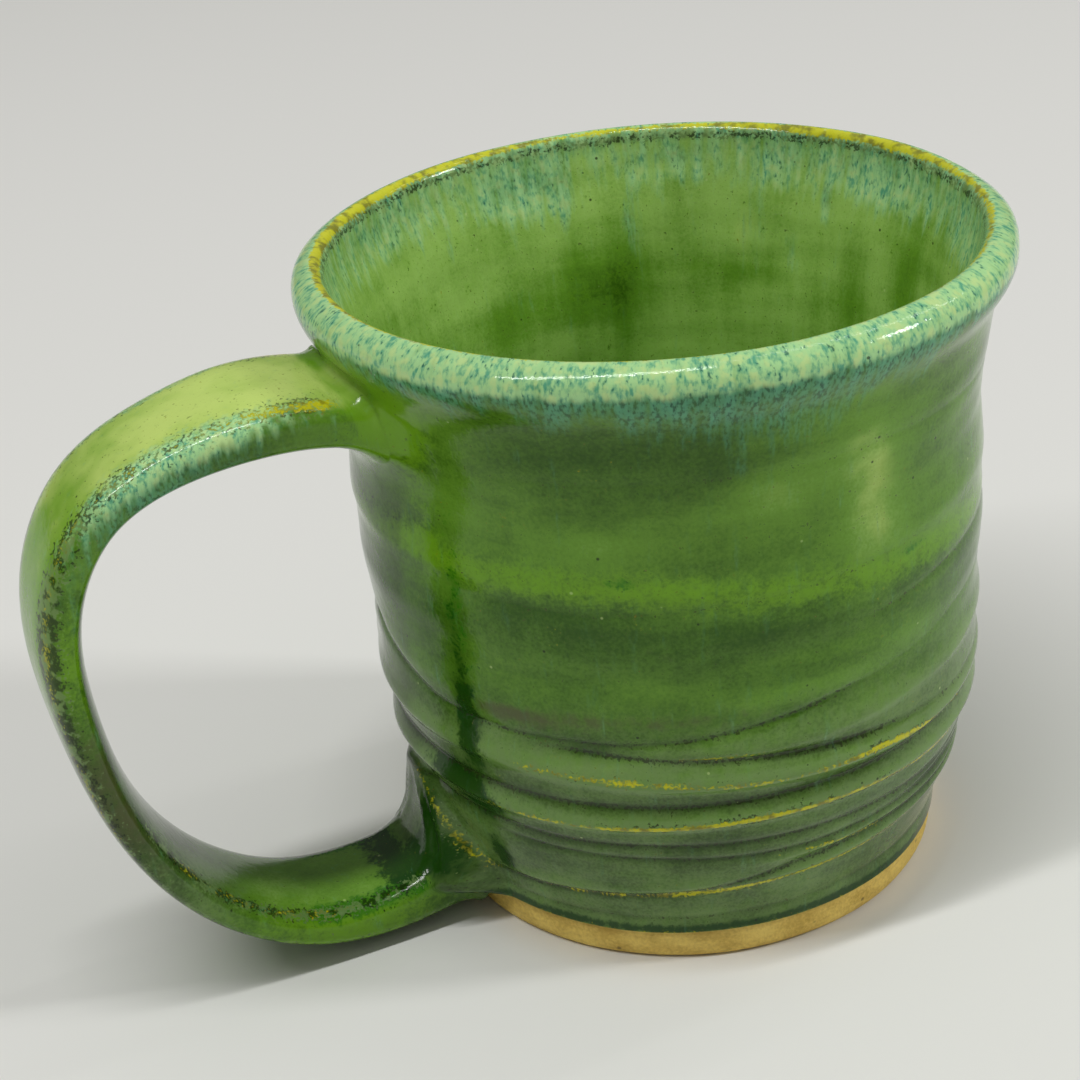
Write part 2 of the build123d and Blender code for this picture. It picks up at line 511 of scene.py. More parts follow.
FOOT_OUTLINE = Spline([(0.5, 0.35), (12, 0.3), (24, 0.2), (33, 0.05), (36.6, 0.0), (37.7, 0.45),
                       (38.15, 1.6), (38.3, 3.4), (38.4, GLAZE_LINE - 0.4)])
FOOT_ROWS = 120


def foot_grid():
    """The bare clay from the middle of the base up to the glaze line."""
    lengths = np.linspace(0, FOOT_OUTLINE.length, FOOT_ROWS)
    places = FOOT_OUTLINE.at(lengths)
    radius, height = places[:, :1], places[:, 1:]
    # the twisted wire that cut the mug off the wheel leaves a shell of arcs on the base
    turn = np.radians(ANGLES)
    swirl = np.sin(2 * np.pi * (radius / 3.1 - 1.5 * ANGLES / 360 + 0.12 * np.sin(turn)))
    swirl = 0.12 * swirl * smoothstep(1, 6, radius) * (1 - smoothstep(31, 35, radius))
    height = height + swirl * (height < 1)
    side = smoothstep(1, 3, height)
    radius = radius + 0.05 * np.sin(2 * np.pi * height / 1.7 + turn) * side
    radius = radius + wobble(ANGLES, 0 * height) * smoothstep(20, 36, radius)
    return turned_grid(radius, np.maximum(height, 0), ANGLES)


# ------ where the glaze changes

# Patches of the wall are (angle, height, half width in degrees, half height, amount)
# Most of these tints are the glaze's own; the patches at 264 and 281 degrees lighten the wall as painted
# reflection, and the one at 190 degrees lightens the wall shaded by the lip beside the upper root as
# painted light
WALL_TINTS_AND_PAINTED_LIGHT = [
    (281, 75, 7, 13, 0.9), (264, 78, 10, 4, 0.65), (238, 73.5, 26, 2.6, 0.3), (300, 70, 9, 12, 0.15),
    (232, 88, 16, 6, -0.3), (250, 83, 14, 5, -0.25), (190, 91, 14, 6, 1), (222, 62, 12, 1.6, -0.3),
    (245, 59, 30, 2, -0.2), (250, 54, 40, 3, 0.06), (272, 47.6, 16, 1.8, 0.45), (290, 51, 10, 2.2, 0.3),
    (236, 38.2, 26, 1.3, 0.4), (207, 74, 7, 14, 0.25), (330, 74, 14, 10, 0.25), (10, 66, 18, 9, 0.2),
    (55, 78, 20, 8, 0.3), (100, 60, 25, 8, -0.2), (140, 76, 16, 9, 0.25), (75, 50, 22, 4, 0.25),
]
LINER_TINTS = [
    (73, 77, 12, 4.5, -0.5), (98, 73, 16, 3.5, -0.34), (46, 77.5, 12, 3.5, -0.26), (74, 70, 3, 8, -0.3),
    (18, 75, 4, 9, -0.42), (2, 79, 4, 8, -0.42), (85, 88, 9, 4, 0.3), (45, 85, 4, 5, 0.25),
    (126, 86, 14, 6, 0.15), (95, 66, 14, 4, 0.16), (30, 88, 8, 4, 0.12), (128, 66, 12, 9, -0.28),
    (150, 72, 9, 10, -0.2), (200, 80, 14, 9, -0.15), (240, 74, 18, 8, 0.15), (280, 80, 14, 9, -0.2),
    (320, 70, 10, 12, -0.2), (56, 62, 14, 5, 0.2),
]
LINER_TEALS = [
    (92, 93, 10, 3.4, 0.75), (15, 95, 15, 3.4, 0.6), (340, 94, 14, 3.6, 0.6), (128, 95, 16, 2.6, 0.35),
    (60, 95, 9, 2, 0.35), (38, 95, 5, 2.6, 0.4), (165, 95, 14, 2.6, 0.4), (230, 95, 40, 2.6, 0.4),
    (300, 95, 20, 2.6, 0.4), (84, 89, 2.5, 4, 0.35), (70, 86, 2, 6, 0.4), (112, 89, 1.6, 4, 0.3),
    (44, 86, 2.5, 7, 0.35), (27, 90, 1.5, 2.4, 0.7), (34, 83, 1, 3, 0.5),
]
DUSKY_PATCHES = [(214, 44.4, 12, 2, 0.75), (240, 45.4, 24, 1.4, 0.55), (243, 57, 5, 1.4, 0.35),
                 (20, 46, 22, 1.8, 0.5), (120, 44.5, 20, 1.6, 0.45)]
GRASS_PATCHES = [(237, 67.6, 5, 1, 0.6), (290, 63.6, 5, 1.1, 0.65), (205, 58, 3, 18, 0.55),
                 (70, 64, 5, 0.9, 0.7)]
WALL_LIMES = [(180, 89, 14, 6, 1.2), (196, 87, 8, 6, 1.3), (199, 74, 4, 9, 0.3),
              (162, 89, 14, 8, 0.9)]
# Painted light on the wall: the patches at 264 and 281 degrees paint a pale reflection, and the one at 185
# degrees paints light onto the wall shaded by the lip beside the upper root
WALL_PAINTED_LIGHT = [(281, 76, 6.5, 12, 0.44), (264, 79, 9, 3, 0.25), (185, 90, 10, 7, 0.6)]
LINER_PALES = [(46, 86, 3, 6, 0.4), (84, 87, 7, 3, 0.3), (60, 90, 3, 4, 0.3)]
WALL_POOLS = [(204, 40, 3, 9, 1.1), (204, 55, 1.4, 10, 0.4), (196, 30, 6, 2.6, 1.1),
              (203, 26.5, 6, 2.8, 1.2), (186, 17, 2.6, 6, 1.2), (188, 12.5, 7, 3.2, 1.2),
              (203.5, 15.5, 2.8, 4, 1), (167, 34, 4, 6, 0.8), (176, 27.5, 5, 2, 0.8)]
LIME_BAND = [(196, 68), (211, 66.4), (223, 66.9), (237, 66.5), (250, 65.4), (263, 63.6), (288, 62.6),
             (308, 61.5), (400, 63), (480, 66), (540, 67)]

# Lines where the glaze runs thin over a crest and breaks yellow, as (line, size, width)
BREAKS = [
    ([(214, 36.7), (238, 35.8), (255, 34.4), (268, 34.1)], 0.46, 0.6),
    ([(272, 34.1), (283, 34.2), (308, 31.8), (350, 32)], 0.78, 0.5),
    ([(206, 27.6), (236, 27.6)], 0.42, 0.5),
    ([(234, 27.6), (260, 28.2), (280, 28), (314, 26), (350, 26)], 0.78, 0.5),
    ([(212, 11.7), (240, 13.1)], 0.34, 0.5),
    ([(240, 13.1), (259, 14.2), (279, 15.2), (300, 16.4), (340, 17)], 0.6, 0.5),
    ([(266, 19.6), (286, 18.2)], 0.58, 0.5),
    ([(240, 39.6), (262, 38.8)], 0.5, 0.45),
    ([(183, 25), (190, 17.4), (194, 13.4), (198, 11.4)], 0.55, 1.3),
    (BACK_MIDDLE, 0.66, 0.6),
    (BACK_LOW, 0.72, 0.55),
    (BACK_HIGH, 0.5, 0.6),
]
# How far the blue-green of the lip hangs down the wall, as (angle, length)
HANG = [(0, 9), (30, 12), (60, 8), (90, 13), (120, 8), (150, 9), (185, 5), (200, 7), (212, 9), (222, 6),
        (229, 11), (236, 9), (244, 13), (252, 15), (259, 19), (266, 18), (274, 13), (282, 9), (289, 12),
        (298, 6), (320, 10), (345, 7), (360, 9)]
# How strongly the lip's inner edge breaks yellow, as (angle, amount)
EDGE = [(0, 0.85), (20, 1), (38, 0.9), (55, 0.62), (85, 0.56), (104, 0.85), (125, 1), (150, 1),
        (178, 0.85), (200, 0.68), (230, 0.58), (262, 0.52), (300, 0.46), (335, 0.55), (360, 0.85)]
GOLD_LENGTH = LIP_CREST + 0.55
# How strongly the strap's outer corners break yellow, and how flecked they are, as (share of its
# length, amount)
STRAP_GOLD = [(0, 0), (0.07, 0.1), (0.09, 0.7), (0.11, 0.6), (0.14, 0.3), (0.3, 0.25), (0.36, 0.42),
              (0.42, 0.34), (0.5, 0.3), (1, 0.2)]
STRAP_FLECKS = [(0, 0), (0.07, 0.1), (0.1, 0.85), (0.16, 0.5), (0.3, 0.75), (0.36, 1.2), (0.42, 1.4),
                (0.5, 1.2), (0.7, 0.7), (1, 0.9)]


def patch_sum(patches, angle, height):
    """Sum of soft oval patches at these places on the wall."""
    total = 0
    for middle, level, half_width, half_height, amount in patches:
        across = np.mod(angle - middle + 180, 360) - 180
        total = total + amount * bell(np.hypot(across / half_width, (height - level) / half_height), 1)
    return total


def hairline(distance, width):
    """The fine dark line in the bottom of a groove."""
    return bell(distance, 0.5 * width)


def halo(distance, width):
    """The speckled band to both sides of a yellow line."""
    return bell(distance, 2.4 * width)


def outside_masks(angle, height):
    """The glaze's masks on the outer wall and up over the lip."""
    relief = ring_relief(angle, height)
    places = turned_grid(FLOW_RADIUS, 2.4 * height, angle)
    low = 1 - smoothstep(36, 56, height)
    hang = between(HANG, angle % 360)
    lime_distance = height - between(LIME_BAND, np.mod(angle - 190, 360) + 190)
    return {
        # the wall's tint patches include painted reflection and painted light
        "tint": 0.34 + 0.1 * waves(places, 34, 21) + patch_sum(WALL_TINTS_AND_PAINTED_LIGHT, angle, height)
                + 0.7 * relief * low - 0.16 * bell(height - 55, 7),
        "streaky": 0.12,
        "ash": 0.72 * low + 0.3 * bell(height - 57, 5),
        "lime": 0.72 * bell(lime_distance, 3.0) + patch_sum(WALL_LIMES, angle, height),
        # on the wall the pale coat is painted reflection and painted light
        "pale": patch_sum(WALL_PAINTED_LIGHT, angle, height),
        "grass": patch_sum(GRASS_PATCHES, angle, height),
        "dusk": patch_sum(DUSKY_PATCHES, angle, height),
        "pool": patch_sum(WALL_POOLS, angle, height) + 0.85 * bell(height - GLAZE_LINE - 0.6, 0.9),
        "crease": feature_sum(CREASES, angle, height, hairline),
        "teal": 1 - smoothstep(0, 1, (97.5 - height) / hang),
        "mint": 0.95 * smoothstep(94.9, 97.2, height),
        "gold": feature_sum(BREAKS, angle, height, bell) + 0.3 * bell(height - GLAZE_LINE, 0.35),
        "fleck": feature_sum(BREAKS, angle, height, halo),
    }


def inside_masks(angle, height, past):
    """The glaze's masks past the lip's inner edge, down the inside and across the floor."""
    places = turned_grid(LINER_FLOW_RADIUS, 0.8 * height, angle)
    return {
        # the inside's tint sits well above the wall's: partly the liner glaze's own lighter green, partly
        # painted light falling into the cup
        "tint": 1.46 + 0.14 * waves(places, 22, 31) + 1.65 * patch_sum(LINER_TINTS, angle, height)
                - 0.25 * (1 - smoothstep(8, 40, height)),
        "streaky": 0.32 * (1 - smoothstep(70, 105, past)),
        "ash": 0.85 * bell(past - 1.2, 1.3),
        "lime": 0.22 * smoothstep(3, 12, past),
        "pale": patch_sum(LINER_PALES, angle, height),
        "grass": 0.25 * (1 - smoothstep(12, 50, height)),
        "teal": 0.46 * (1 - smoothstep(1.5, 9, past)) + 1.3 * patch_sum(LINER_TEALS, angle, height),
        "mint": 0.52 * (1 - smoothstep(2, 15, past)) + 0.8 * patch_sum(LINER_TEALS, angle, height + 2.5),
        "fleck": 0.7 * bell(past - 1.6, 1.0),
    }


def vessel_masks(lengths):
    """The glaze's masks over the whole vessel, blended over the lip's inner edge."""
    angle, height = ANGLES, OUTLINE.at(lengths)[:, 1:]
    past = (lengths - GOLD_LENGTH)[:, None]
    over = smoothstep(-0.8, 0.8, past)
    outside, inside = outside_masks(angle, height), inside_masks(angle, height, past)
    upward = (lengths < LIP_CREST)[:, None]
    # the blue-green is thinner over the lip
    outside["teal"] = np.where(upward, outside["teal"] - 0.45 * smoothstep(96, 98.5, height), 0.55)
    strength = between(EDGE, angle % 360)
    outside["gold"] = np.where(past < -8, outside["gold"], 0)
    masks = {key: values * (1 - over) + inside.get(key, 0) * over for key, values in outside.items()}
    masks["gold"] += strength * bell(past, 0.25 + 0.75 * strength)
    # the pattern's radius narrows to 0 at the middle of the cup's floor
    flow_radius = FLOW_RADIUS * np.tanh((OUTLINE.length - lengths) / 45)[:, None]
    masks["flow"] = flow = turned_grid(flow_radius, lengths[:, None], angle)
    shape = flow.shape[:2]
    return {key: np.broadcast_to(values, (*shape, *values.shape[2:])) for key, values in masks.items()}


def handle_masks(lengths, points):
    """The glaze's masks on the handle; those of the wall take over at its roots."""
    along = lengths / STRAP.length
    middle = STRAP.at(lengths)
    half_width, half_thickness = middle[..., 2], middle[..., 3]
    side, out = section_outline(strap_turns(), 1, 1).T
    outer = smoothstep(0.5, 0.97, out)
    inner = smoothstep(0.5, 0.97, -out)
    edge = smoothstep(0.72, 0.98, np.abs(side))
    across = (np.abs(side) - 0.82) * half_width
    from_outer = np.hypot(across, (out - 0.8) * half_thickness)
    from_inner = np.hypot(across, (out + 0.82) * half_thickness)
    near_outer = bell(from_outer, 2.4)
    inner_corner = bell(from_inner, 1.1)
    upper = 1 - smoothstep(0.24, 0.46, along)
    dark_corner = inner_corner * (1 - smoothstep(0.5, 0.6, along))
    masks = {
        "tint": 0.5 + 0.3 * outer * upper - 0.45 * bell(along - 0.55, 0.09) - 0.1 * edge
                + 0.12 * waves(points, 24, 41) + 0.45 * inner * bell(along - 0.8, 0.1),
        "streaky": 0.2,
        "ash": 0.7 * smoothstep(0.5, 0.62, along) * (1 - 0.5 * outer)
               * (1 - smoothstep(0.68, 0.8, along)),
        "lime": 0.85 * outer * (1 - smoothstep(0.42, 0.56, along)) + 0.9 * bell(along - 0.03, 0.05)
                + 0.6 * edge * bell(along - 0.42, 0.07) + 0.85 * edge * bell(along - 0.84, 0.09)
                + 0.2 * inner * bell(along - 0.84, 0.1),
        "pale": 0.85 * outer * (1 - smoothstep(0.18, 0.44, along))
                + 0.5 * near_outer * bell(along - 0.84, 0.12),
        "grass": bell(from_inner, 2.2) * smoothstep(0.76, 0.84, along)
                 + 0.35 * inner * smoothstep(0.86, 0.92, along),
        "dusk": 0.8 * edge * bell(along - 0.55, 0.09),
        "pool": 0.95 * inner * smoothstep(0.87, 0.92, along) + 0.5 * dark_corner,
        "crease": 0.5 * dark_corner,
        "teal": 0.75 * edge * bell(along - 0.24, 0.09) + 0.6 * near_outer * bell(along - 0.2, 0.1)
                + 0.5 * inner_corner * bell(along - 0.73, 0.06),
        "mint": 0.62 * edge * smoothstep(-0.6, 0.5, out) * bell(along - 0.21, 0.09)
                + 0.75 * near_outer * bell(along - 0.22, 0.11),
        "gold": bell(from_outer, 1.3) * between(STRAP_GOLD, along)
                + 0.3 * inner_corner * bell(along - 0.76, 0.12),
        "fleck": bell(from_outer, 2.6) * between(STRAP_FLECKS, along)
                 + 0.9 * bell(from_inner, 1.5) * smoothstep(0.52, 0.64, along),
    }
    angle = np.degrees(np.arctan2(points[..., 1], points[..., 0])) % 360
    share = 1 - smoothstep(1.8, 5, wall_distance(points))
    wall = outside_masks(angle, points[..., 2])
    masks = {key: values * (1 - share) + wall[key] * share for key, values in masks.items()}
    wall_lengths = np.interp(points[..., 2], WALL_SAMPLES[:, 1], WALL_LENGTHS)
    wall_flow = turned_grid(FLOW_RADIUS, wall_lengths, angle)
    masks["flow"] = points * (1 - share[..., None]) + wall_flow * share[..., None]
    return masks


# ------ meshes

def grid_faces(rows, columns, first=0, flip=False):
    """Quads of a grid that closes round its columns."""
    row, column = np.meshgrid(np.arange(rows - 1), np.arange(columns), indexing="ij")
    after = (column + 1) % columns
    corners = [row * columns + column, row * columns + after,
               (row + 1) * columns + after, (row + 1) * columns + column]
    if flip:
        corners.reverse()
    return np.stack(corners, -1).reshape(-1, 4) + first


def strip_faces(one, other):
    """Quads between two closed rows of points, given by their numbers."""
    return np.stack([one, other, np.roll(other, -1), np.roll(one, -1)], -1)


def mesh_piece(name, points, quads, normals, attributes, caps=()):
    """A mesh object from points in parts, with smooth shading and its own normals."""
    mesh = bpy.data.meshes.new(name)
    faces = [*quads.tolist(), *[list(cap) for cap in caps]]
    mesh.from_pydata((points * PART).tolist(), [], faces)
    for key, values in attributes.items():
        kind, field = ("FLOAT_VECTOR", "vector") if values.ndim == 2 else ("FLOAT", "value")
        layer = mesh.attributes.new(key, kind, "POINT")
        layer.data.foreach_set(field, np.ascontiguousarray(values, np.float32).ravel())
    mesh.shade_smooth()
    mesh.normals_split_custom_set_from_vertices(normals.tolist())
    return add_object(name, mesh)


def capped_piece(name, points):
    """A solid of bare clay from a grid whose two ends are closed with flat caps."""
    rows, columns = points.shape[:2]
    first_cap = np.arange(columns)[::-1]
    last_cap = np.arange(columns) + (rows - 1) * columns
    flat, normals = points.reshape(-1, 3), grid_normals(points).reshape(-1, 3)
    return mesh_piece(name, flat, grid_faces(rows, columns), normals, {"flow": flat}, (first_cap, last_cap))


def shell_piece(name, outer, normals, inner, attributes):
    """A closed coat: a detailed outer grid, a plainer inner one, and walls between their ends."""
    rows, columns = outer.shape[:2]
    inner_rows = len(inner)
    start = np.arange(columns)
    first = rows * columns
    quads = np.concatenate([
        grid_faces(rows, columns),
        grid_faces(inner_rows, columns, first, flip=True),
        strip_faces(start + first, start),
        strip_faces(start + (rows - 1) * columns, start + first + (inner_rows - 1) * columns),
    ])
    points = np.concatenate([outer.reshape(-1, 3), inner.reshape(-1, 3)])
    normals = np.concatenate([normals.reshape(-1, 3), -grid_normals(inner).reshape(-1, 3)])
    # the masks are 0 over the inner grid
    spread = {}
    for key, values in attributes.items():
        unseen = np.zeros((inner_rows * columns, *values.shape[2:]))
        spread[key] = np.concatenate([values.reshape(-1, *values.shape[2:]), unseen])
    return mesh_piece(name, points, quads, normals, spread)


def every_row(grid, step):
    """Every so many rows of a grid, and its last row."""
    return grid[np.unique(np.append(np.arange(0, len(grid), step), len(grid) - 1))]


def clear_of_grooves(grid, step):
    """Every so many rows of the wall's clay, drawn in so that the grooves between them stay clear."""
    radius = np.hypot(grid[..., 0], grid[..., 1])
    padded = np.pad(radius, ((step, step), (0, 0)), mode="edge")
    deepest = np.lib.stride_tricks.sliding_window_view(padded, 2 * step + 1, axis=0).min(-1)
    share = deepest / radius
    return every_row(grid * np.stack([share, share, np.ones_like(share)], -1), step)


def coat_piece(name, first, last, step, thin=every_row):
    """One glaze coat of the vessel, from row first to row last."""
    rows = slice(first, last + 1)
    own_masks = {key: values[rows] for key, values in masks.items()}
    return shell_piece(name, vessel[rows], vessel_normals[rows], thin(clay[rows], step), own_masks)


def clay_vessel():
    """The thrown clay: its bare foot, and the wall, lip and inside under the glaze."""
    wall = clear_of_grooves(clay[:RIM_ROW], 4)
    lip = every_row(clay[RIM_ROW:LINER_ROW], 3)
    inside = every_row(clay[LINER_ROW:], 6)
    return capped_piece("clay_vessel", np.concatenate([foot_grid(), wall, lip, inside]))


# The slip's thickness between strap and glaze, and how many of the handle's rows a collar spans
SLIP_BED = 0.2
COLLAR_ROWS = 34


def slip_collar(name, rows):
    """Soft clay worked round a root, between the strap and the glaze over its fillet."""
    outer = handle[rows] - handle_normals[rows] * COAT
    inner = strap_points(strap_lengths[rows], COAT + SLIP_BED)
    return shell_piece(name, outer, handle_normals[rows], inner, {"flow": outer})


lengths, plain = vessel_grid()
plain_normals = grid_normals(plain)
vessel, vessel_normals = fillet_wall(plain, plain_normals, lengths)
clay = plain - plain_normals * COAT
masks = vessel_masks(lengths)
outer_glaze = coat_piece("outer_glaze_coat", 0, RIM_ROW, 12, clear_of_grooves)
rim_glaze = coat_piece("rim_glaze_coat", RIM_ROW, LINER_ROW, 7)
liner_glaze = coat_piece("liner_glaze_coat", LINER_ROW, len(plain) - 1, 5)
clay_body = clay_vessel()

strap_lengths, handle, handle_normals = handle_grid()
handle_glaze = shell_piece("handle_glaze_coat", handle, handle_normals,
                           every_row(handle - handle_normals * COAT, 5),
                           handle_masks(strap_lengths, handle))
strap_core = capped_piece("clay_strap", strap_grid(COAT + SLIP_BED, COAT, rows=160)[1])
upper_collar = slip_collar("upper_slip_collar", slice(0, COLLAR_ROWS))
lower_collar = slip_collar("lower_slip_collar", slice(STRAP_ROWS - COLLAR_ROWS, STRAP_ROWS))


# ------ materials

class Painter:
    """Builds the nodes of one material, whose patterns follow the mesh's flow attribute."""

    def __init__(self, name):
        self.material = bpy.data.materials.new(name)
        self.material.use_nodes = True
        self.tree = self.material.node_tree
        self.shader = self.tree.nodes["Principled BSDF"]
        self.flow = self.attribute("flow", "Vector")

    def set(self, node, inputs):
        """Set a node's inputs to numbers, or link them to other nodes."""
        for key, value in inputs.items():
            if isinstance(value, bpy.types.NodeSocket):
                self.tree.links.new(value, node.inputs[key])
            else:
                node.inputs[key].default_value = value

    def node(self, kind, inputs, **settings):
        """A new node's first output."""
        made = self.tree.nodes.new(kind)
        for key, value in settings.items():
            setattr(made, key, value)
        self.set(made, inputs)
        return made.outputs[0]

    def attribute(self, name, output="Fac"):
        """One of the mesh's attributes."""
        made = self.tree.nodes.new("ShaderNodeAttribute")
        made.attribute_name = name
        return made.outputs[output]

    def calculate(self, operation, *values):
        """A sum, product or the like."""
        return self.node("ShaderNodeMath", dict(enumerate(values)), operation=operation)

    def add(self, pattern, weight, base):
        """The base plus this much of a pattern."""
        return self.calculate("MULTIPLY_ADD", pattern, weight, base)

    def place(self, scale, offset):
        """Places along the flow, scaled and moved."""
        inputs = {0: self.flow, 1: scale, 2: offset}
        return self.node("ShaderNodeVectorMath", inputs, operation="MULTIPLY_ADD")

    def noise(self, size, stretch=1.0, detail=2.0, seed=0):
        """Noise with features of about this size, drawn out along the flow."""
        place = self.place((1 / size, 1 / size, 1 / (size * stretch)), (7.3 * seed, 3.1 * seed, 0))
        return self.node("ShaderNodeTexNoise", {"Vector": place, "Scale": 1.0, "Detail": detail})

    def spots(self, size, seed=0):
        """Distance from scattered points about this far apart, as a share of that."""
        place = self.place((1 / size,) * 3, (5.7 * seed, 0, 0))
        return self.node("ShaderNodeTexVoronoi", {"Vector": place, "Scale": 1.0})

    def ramp(self, value, low, high, top=1.0):
        """0 below low, top above high, and a smooth ramp between."""
        inputs = {"Value": value, "From Min": low, "From Max": high, "To Max": top}
        return self.node("ShaderNodeMapRange", inputs, interpolation_type="SMOOTHSTEP")

    def mix(self, factor, one, other):
        """One colour, turning to the other as the factor goes to 1."""
        made = self.tree.nodes.new("ShaderNodeMix")
        made.data_type = "RGBA"
        self.set(made, {0: factor, 6: one, 7: other})
        return made.outputs[2]

    def layer(self, under, mask, noise, spread, low, high, paint, strength):
        """Paint over what is there, where the mask and its noise reach high enough."""
        reach = self.add(noise, spread, self.attribute(mask))
        cover = self.ramp(reach, low + spread / 2, high + spread / 2, strength)
        return self.mix(cover, under, paint)


def screen(red, green, blue):
    """A colour given in screen values."""
    return (*[((value / 255 + 0.055) / 1.055) ** 2.4 for value in (red, green, blue)], 1)


OLIVE = screen(46, 86, 6)
FRESH = screen(106, 154, 46)
# palest green, reached mostly inside: partly the glaze's own, partly painted light falling into the cup
MEADOW_AND_PAINTED_LIGHT = screen(164, 204, 104)
ASH_DARK = screen(52, 72, 34)
ASH = screen(112, 140, 82)
LIME = screen(114, 166, 26)
# pale straw glaze, and on the wall the colour of painted reflection and painted light
STRAW_AND_PAINTED_LIGHT = screen(200, 222, 120)
GRASS = screen(44, 116, 4)
DUSK = screen(82, 86, 50)
POOL = screen(12, 58, 0)
CREASE = screen(38, 44, 22)
TEAL = screen(92, 168, 134)
DEEP_TEAL = screen(26, 84, 76)
MINT = screen(174, 222, 154)
GOLD = screen(206, 204, 20)
UMBER = screen(104, 98, 22)
INK = screen(26, 38, 12)
PEARL = screen(206, 228, 150)


def glaze_material():
    """Glossy reactive glaze: green over the walls, blue-green at the lip, yellow where it runs thin."""
    paint = Painter("reactive_glaze")
    streak = paint.noise(1.3, stretch=5, detail=3)
    broad = paint.noise(4.5, stretch=6, detail=2, seed=1)
    feather = paint.noise(0.42, stretch=2.2, detail=3, seed=2)
    grain = paint.noise(0.5, detail=3, seed=3)
    mottle = paint.noise(1.8, detail=4, seed=4)
    cloud = paint.noise(13, stretch=0.4, detail=3, seed=5)
    bands = paint.noise(26, stretch=0.08, detail=2, seed=6)
    cluster = paint.noise(6, detail=2, seed=7)
    drops = paint.noise(1.2, stretch=1.5, detail=4, seed=8)

    streaky = paint.attribute("streaky")
    broad_streaks = paint.calculate("MULTIPLY", broad, streaky)
    fine_streaks = paint.calculate("MULTIPLY", streak, streaky)
    tone = paint.attribute("tint")
    for pattern, weight in (
        (cloud, 0.9), (bands, 0.3), (broad_streaks, 2.6), (grain, 0.8), (mottle, 0.3),
        (fine_streaks, 1.2), (streaky, -1.9),
    ):
        tone = paint.add(pattern, weight, tone)
    colour = paint.mix(paint.ramp(tone, 0.85, 2.1), OLIVE, FRESH)
    colour = paint.mix(paint.ramp(tone, 1.9, 3.0), colour, MEADOW_AND_PAINTED_LIGHT)

    ash = paint.mix(paint.ramp(tone, 0.95, 1.9), ASH_DARK, ASH)
    blue = paint.mix(paint.ramp(feather, 0.34, 0.57), DEEP_TEAL, TEAL)
    lip = paint.mix(paint.ramp(paint.add(drops, 1.1, feather), 0.72, 1.14), TEAL, MINT)
    lip = paint.mix(paint.ramp(paint.add(mottle, 1.0, drops), 1.0, 1.22, 0.6), lip, PEARL)
    lip = paint.mix(paint.ramp(paint.add(mottle, 0.8, feather), 0.74, 0.62, 0.7), lip, DEEP_TEAL)
    flecks = paint.mix(paint.ramp(mottle, 0.46, 0.56), INK, ASH)
    thin = paint.mix(paint.ramp(mottle, 0.44, 0.64, 0.8), GOLD, UMBER)
    speckle = paint.add(grain, 0.8, mottle)
    broken = paint.add(cluster, 0.5, grain)
    # (mask, noise, spread, low, high, paint, strength)
    for coat in (
        ("ash", mottle, 0.6, 0.2, 0.9, ash, 0.85),
        ("lime", speckle, 1.0, 0.55, 1.3, LIME, 0.85),
        # the pale coat: straw glaze, and on the wall painted reflection and painted light
        ("pale", cluster, 0.8, 0.2, 0.95, STRAW_AND_PAINTED_LIGHT, 0.9),
        ("grass", speckle, 1.4, 0.85, 1.4, GRASS, 0.85),
        ("dusk", mottle, 1.0, 0.2, 0.95, DUSK, 0.85),
        ("pool", speckle, 1.1, 0.62, 1.2, POOL, 0.9),
        ("crease", grain, 2.4, 0.3, 0.7, CREASE, 0.8),
        ("teal", streak, 1.6, 0.1, 1.2, blue, 0.8),
        ("mint", streak, 1.2, 0.2, 0.9, lip, 0.92),
        ("fleck", grain, 2.4, 0.5, 0.8, flecks, 0.8),
        ("gold", broken, 1.2, 0.56, 0.9, thin, 0.9),
    ):
        colour = paint.layer(colour, *coat)
    pearls = paint.ramp(paint.spots(6.5, seed=1), 0.045, 0.02, 0.4)
    colour = paint.mix(pearls, colour, PEARL)
    pits = paint.ramp(paint.spots(5.2, seed=2), 0.055, 0.03, 0.8)
    colour = paint.mix(pits, colour, INK)

    bump = paint.add(mottle, 2.0, grain)
    normal = paint.node("ShaderNodeBump", {"Height": bump, "Strength": 0.12, "Distance": 0.0002})
    roughness = paint.node("ShaderNodeMapRange", {"Value": mottle, "To Min": 0.05, "To Max": 0.16})
    paint.set(paint.shader, {"Base Color": colour, "Normal": normal, "Roughness": roughness,
                             "Specular IOR Level": 0.27})
    return paint.material


def clay_material():
    """Buff stoneware: fine grain, iron specks and darker smudges."""
    paint = Painter("buff_stoneware")
    grain = paint.noise(0.5, detail=4)
    cloud = paint.noise(7, stretch=0.5, detail=3, seed=1)
    specks = paint.spots(3.6)
    tone = paint.add(grain, 0.6, cloud)
    colour = paint.mix(paint.ramp(tone, 0.5, 1.1), screen(192, 158, 66), screen(240, 210, 110))
    colour = paint.mix(paint.ramp(specks, 0.13, 0.05, 0.7), colour, screen(96, 76, 36))
    height = paint.add(specks, 0.4, grain)
    normal = paint.node("ShaderNodeBump", {"Height": height, "Strength": 0.5, "Distance": 0.0003})
    roughness = paint.node("ShaderNodeMapRange", {"Value": grain, "To Min": 0.55, "To Max": 0.85})
    paint.set(paint.shader, {"Base Color": colour, "Normal": normal, "Roughness": roughness})
    return paint.material


